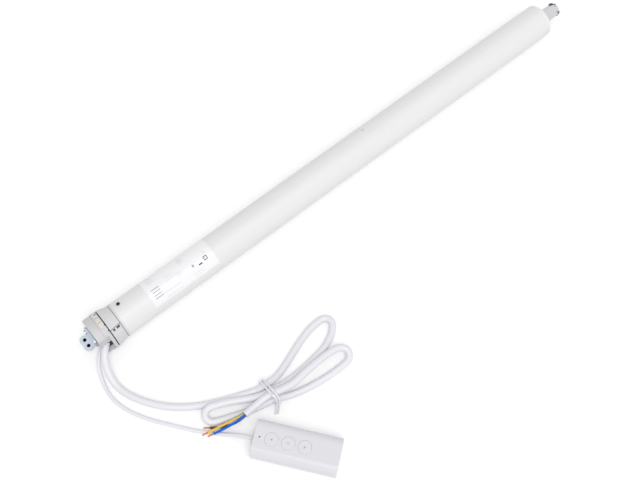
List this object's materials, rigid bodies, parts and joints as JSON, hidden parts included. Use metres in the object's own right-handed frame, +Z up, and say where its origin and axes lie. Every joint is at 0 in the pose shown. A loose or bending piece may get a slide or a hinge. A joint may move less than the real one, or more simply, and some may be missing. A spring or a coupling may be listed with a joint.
{
  "type": "roller shade controller",
  "caption": "Tubular roller shade motor with a bracket tongue, turning crown, square drive shaft, tied mains cord and a small wired control box.",
  "frame": {"origin": "midway between the two holes of the head's bracket, on the motor's axis", "axes": "+X along the motor's axis towards the square drive shaft, +Z up from the floor that the part lies on, along the bracket holes"},
  "size_m": [0.612, 0.2599, 0.04],
  "materials": {
    "white_coat": "satin",
    "label_film": "satin film",
    "head_grey": "moulded",
    "cream": "satin",
    "crown_grey": "moulded",
    "dark_plastic": "matte",
    "zinc": "zinc plated",
    "steel": "bright",
    "dark_steel": "oiled",
    "cord_white": "smooth",
    "brown": "smooth",
    "blue": "smooth",
    "green_yellow": "striped",
    "copper": "stranded",
    "shell_white": "satin",
    "clear": "clear",
    "board_green": "solder mask",
    "component": "matte",
    "laminations": "stacked sheet",
    "gear_plastic": "moulded",
    "gold": "plated",
    "lamp": "clear"
  },
  "bodies": {
    "motor": {"motor_tube": "white_coat", "rating_label": "label_film", "head_body": "head_grey", "head_window": "cream", "head_bracket": "zinc", "bracket_screws": "steel", "bracket_nuts": "dark_steel", "crown_washer": "dark_plastic", "cord_clamp": "dark_plastic", "crown_stop_ring": "crown_grey", "tube_collar": "dark_plastic", "head_screws": "dark_steel", "end_plug": "white_coat", "output_bearing": "steel", "motor_board": "board_green", "board_capacitor": "component", "board_relays": "component", "board_terminal": "gear_plastic", "motor_can": "steel", "stator": "laminations", "rotor_bearings": "steel", "brake_coil": "dark_steel", "ring_gear": "gear_plastic", "power_cord_lead": "cord_white", "power_cord_hank": "cord_white", "data_cord": "cord_white", "earth_core": "green_yellow", "neutral_core": "blue", "live_core": "brown", "core_tips": "copper", "cord_tie": "cord_white", "front_shell": "shell_white", "back_shell": "shell_white", "status_lens": "lamp", "jack_body": "dark_plastic", "jack_contacts": "gold", "data_plug": "clear", "plug_contacts": "gold", "control_board": "board_green", "key_switches": "component", "radio_module": "steel", "case_screws": "steel"},
    "crown": {"crown_ring": "crown_grey", "crown_key": "crown_grey"},
    "output": {"second_carrier": "steel", "drive_shaft": "zinc", "shaft_clip": "dark_steel"},
    "rotor": {"rotor": "steel", "brake_disc": "dark_steel"},
    "first_carrier": {"first_carrier": "steel"},
    "up_button": {"up_button": "shell_white"},
    "pause_button": {"pause_button": "shell_white"},
    "down_button": {"down_button": "shell_white"},
    "planet_1_a": {"planet_1_a": "gear_plastic"},
    "planet_1_b": {"planet_1_b": "gear_plastic"},
    "planet_1_c": {"planet_1_c": "gear_plastic"},
    "planet_2_a": {"planet_2_a": "gear_plastic"},
    "planet_2_b": {"planet_2_b": "gear_plastic"},
    "planet_2_c": {"planet_2_c": "gear_plastic"}
  },
  "joints": [
    {"name": "shaft_spin", "type": "hinge", "parent": "motor", "child": "output", "pos_m": [0.577, 0, 0], "axis": [1, 0, 0], "continuous": true},
    {"name": "crown_spin", "type": "hinge", "parent": "motor", "child": "crown", "pos_m": [0.029, 0, 0], "axis": [1, 0, 0], "continuous": true},
    {"name": "first_carrier_spin", "type": "hinge", "parent": "motor", "child": "first_carrier", "pos_m": [0.36, 0, 0], "axis": [1, 0, 0], "continuous": true},
    {"name": "rotor_spin", "type": "hinge", "parent": "motor", "child": "rotor", "pos_m": [0.28, 0, 0], "axis": [1, 0, 0], "continuous": true},
    {"name": "planet_1_a_spin", "type": "hinge", "parent": "first_carrier", "child": "planet_1_a", "pos_m": [0.3555, 0.0084, 0], "axis": [1, 0, 0], "continuous": true},
    {"name": "planet_1_b_spin", "type": "hinge", "parent": "first_carrier", "child": "planet_1_b", "pos_m": [0.3555, -0.0042, 0.00727], "axis": [1, 0, 0], "continuous": true},
    {"name": "planet_1_c_spin", "type": "hinge", "parent": "first_carrier", "child": "planet_1_c", "pos_m": [0.3555, -0.0042, -0.00727], "axis": [1, 0, 0], "continuous": true},
    {"name": "planet_2_a_spin", "type": "hinge", "parent": "output", "child": "planet_2_a", "pos_m": [0.3695, 0.0084, 0], "axis": [1, 0, 0], "continuous": true},
    {"name": "planet_2_b_spin", "type": "hinge", "parent": "output", "child": "planet_2_b", "pos_m": [0.3695, -0.0042, 0.00727], "axis": [1, 0, 0], "continuous": true},
    {"name": "planet_2_c_spin", "type": "hinge", "parent": "output", "child": "planet_2_c", "pos_m": [0.3695, -0.0042, -0.00727], "axis": [1, 0, 0], "continuous": true},
    {"name": "up_button_press", "type": "slide", "parent": "motor", "child": "up_button", "axis": [0, 0, -1], "range_m": [0, 0.0004], "stiffness_N_per_m": 1500, "springref_m": -0.0004},
    {"name": "pause_button_press", "type": "slide", "parent": "motor", "child": "pause_button", "axis": [0, 0, -1], "range_m": [0, 0.0004], "stiffness_N_per_m": 1500, "springref_m": -0.0004},
    {"name": "down_button_press", "type": "slide", "parent": "motor", "child": "down_button", "axis": [0, 0, -1], "range_m": [0, 0.0004], "stiffness_N_per_m": 1500, "springref_m": -0.0004}
  ],
  "couplings": [
    {"joint": "first_carrier_spin", "follows": "shaft_spin", "ratio": 4},
    {"joint": "rotor_spin", "follows": "shaft_spin", "ratio": 16},
    {"joint": "planet_1_a_spin", "follows": "shaft_spin", "ratio": -12},
    {"joint": "planet_1_b_spin", "follows": "shaft_spin", "ratio": -12},
    {"joint": "planet_1_c_spin", "follows": "shaft_spin", "ratio": -12},
    {"joint": "planet_2_a_spin", "follows": "shaft_spin", "ratio": -3},
    {"joint": "planet_2_b_spin", "follows": "shaft_spin", "ratio": -3},
    {"joint": "planet_2_c_spin", "follows": "shaft_spin", "ratio": -3}
  ]
}
